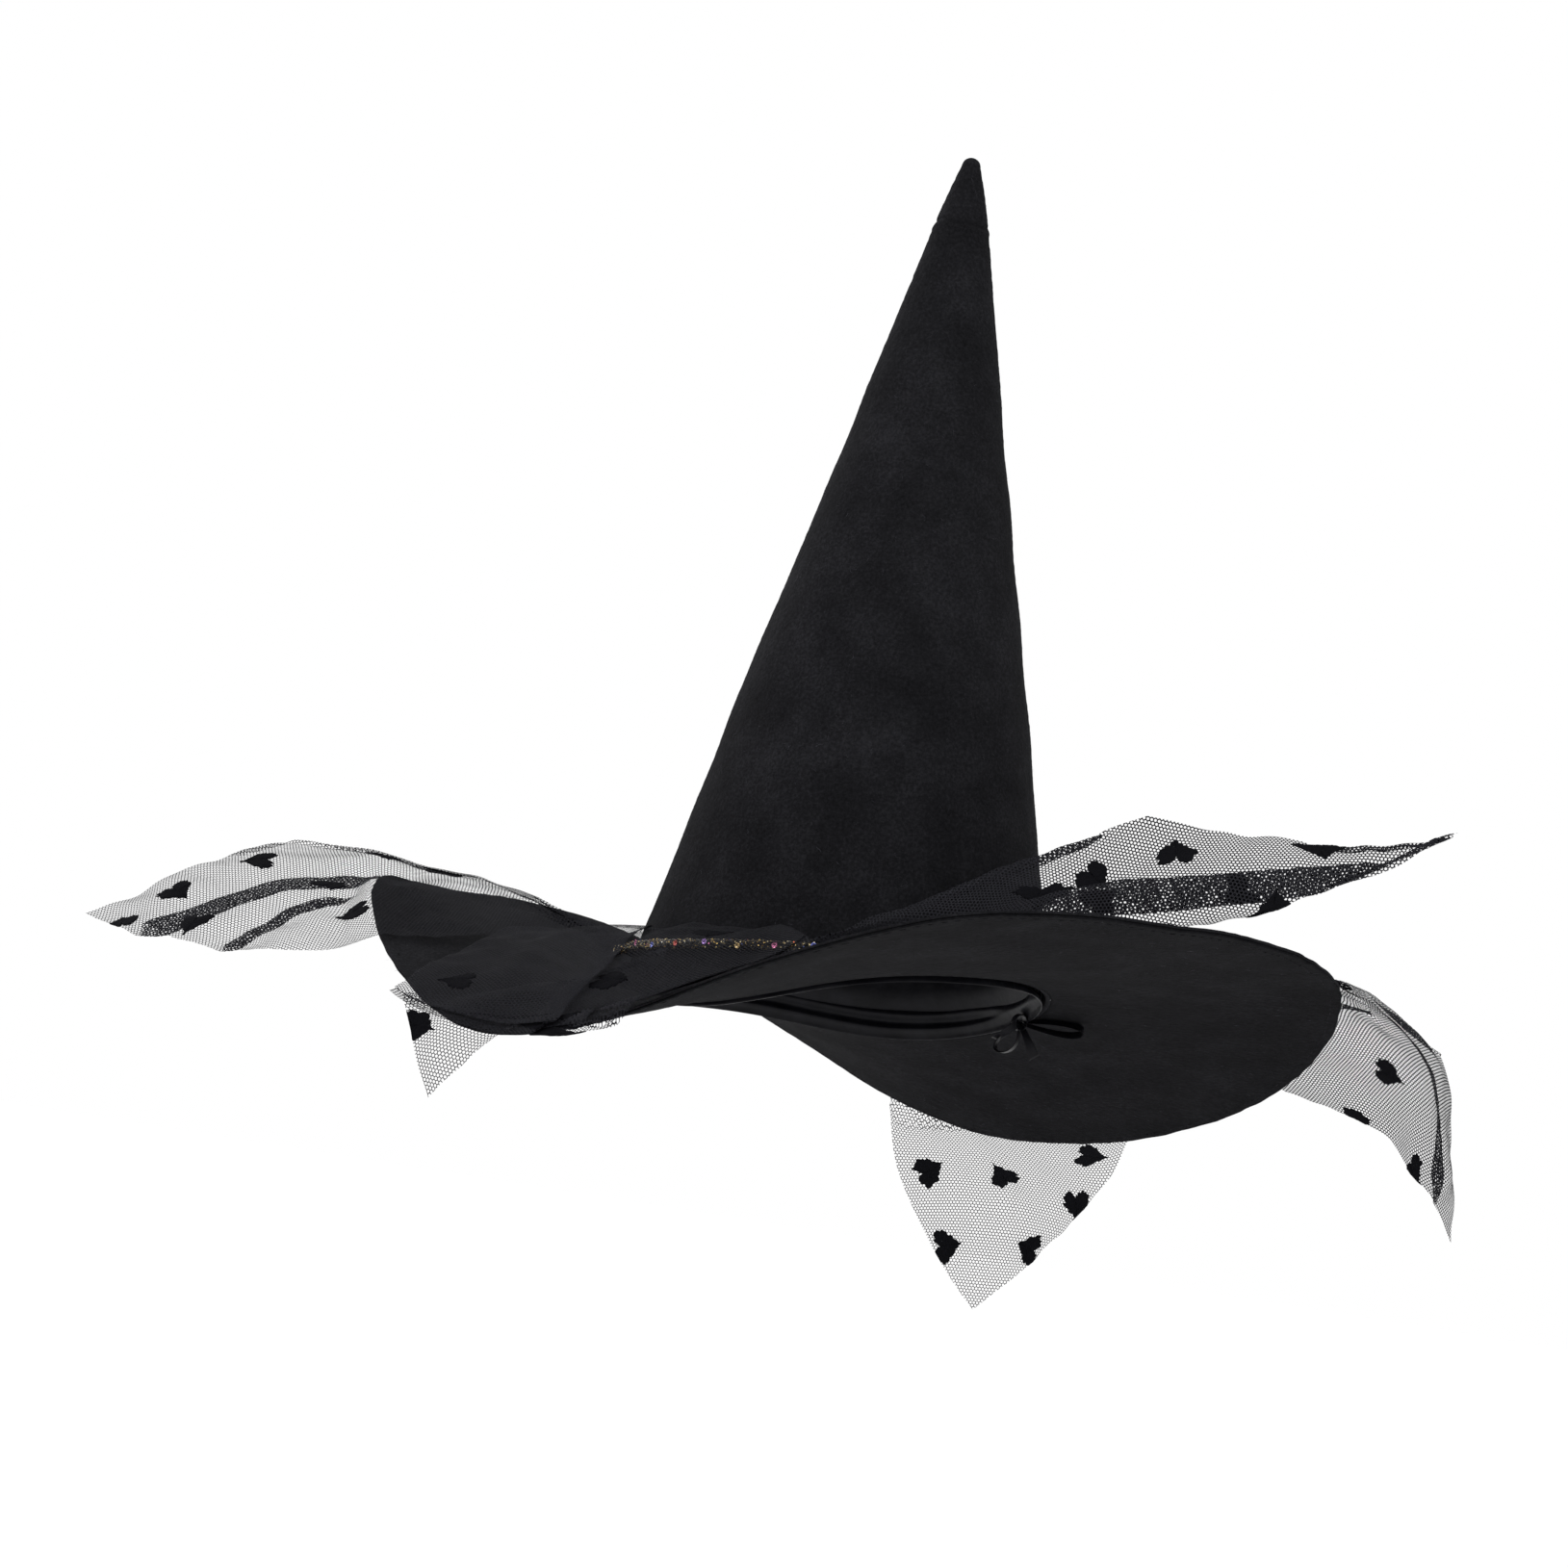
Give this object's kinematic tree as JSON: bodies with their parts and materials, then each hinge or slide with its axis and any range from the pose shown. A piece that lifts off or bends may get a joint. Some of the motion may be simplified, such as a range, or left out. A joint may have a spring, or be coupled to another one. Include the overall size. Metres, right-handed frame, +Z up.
{
  "type": "witch hat",
  "caption": "Felt witch hat with a tall cone crown, folding tip, wavy layered brim, glitter band and heart-dotted square tulle petals.",
  "frame": {"origin": "on the head ring's axis, 3 mm above its lower edge, close to the mean height of the crown's foot", "axes": "+Z up along the crown to the tip; -Z the way the head leaves the hat; -Y the near side in the reference view; +X to its right"},
  "size_m": [0.6296, 0.4571, 0.526],
  "materials": {
    "felt": "matt needled felt",
    "interlining": "stiffened non-woven",
    "satin": "satin",
    "ribbon": "satin ribbon",
    "glitter": "metallic glitter braid",
    "sequin": "iridescent gloss",
    "tulle": "net"
  },
  "bodies": {
    "hat": {"crown_felt": "felt", "crown_interlining": "interlining", "crown_lining": "satin", "sweatband": "ribbon", "sweatband_bow": "ribbon", "brim_top_felt": "felt", "brim_under_felt": "felt", "glitter_band": "glitter", "glitter_knot": "glitter", "band_sequins": "sequin"},
    "tip": {"crown_tip": "felt"},
    "petal_left": {"tulle_left": "tulle"},
    "petal_near_left": {"tulle_near_left": "tulle", "tulle_near_left_under": "tulle"},
    "petal_near_right": {"tulle_near_right": "tulle"},
    "petal_right": {"tulle_right": "tulle"},
    "petal_far_right": {"tulle_far_right": "tulle"},
    "petal_far_left": {"tulle_far_left": "tulle"}
  },
  "joints": [
    {"name": "tip_fold", "type": "hinge", "parent": "hat", "child": "tip", "pos_m": [0, 0, 0.353], "axis": [0, 1, 0], "range_deg": [-40, 40]},
    {"name": "left_lift", "type": "hinge", "parent": "hat", "child": "petal_left", "pos_m": [-0.106, 0.002, 0.011], "axis": [0, 1, 0], "range_deg": [0, 20]},
    {"name": "near_left_lift", "type": "hinge", "parent": "hat", "child": "petal_near_left", "pos_m": [-0.052, -0.088, 0.014], "axis": [-0.8571, 0.5151, 0], "range_deg": [0, 12]},
    {"name": "near_right_lift", "type": "hinge", "parent": "hat", "child": "petal_near_right", "pos_m": [-0.018, -0.104, 0.018], "axis": [-1, 0, 0], "range_deg": [0, 10]},
    {"name": "right_lift", "type": "hinge", "parent": "hat", "child": "petal_right", "pos_m": [0.106, 0.006, 0.024], "axis": [0, -1, 0], "range_deg": [0, 20]},
    {"name": "far_right_lift", "type": "hinge", "parent": "hat", "child": "petal_far_right", "pos_m": [0.043, 0.096, 0.014], "axis": [0.9134, -0.4072, 0], "range_deg": [0, 20]},
    {"name": "far_left_lift", "type": "hinge", "parent": "hat", "child": "petal_far_left", "pos_m": [-0.056, 0.09, 0.008], "axis": [0.8492, 0.5281, 0], "range_deg": [0, 20]}
  ]
}
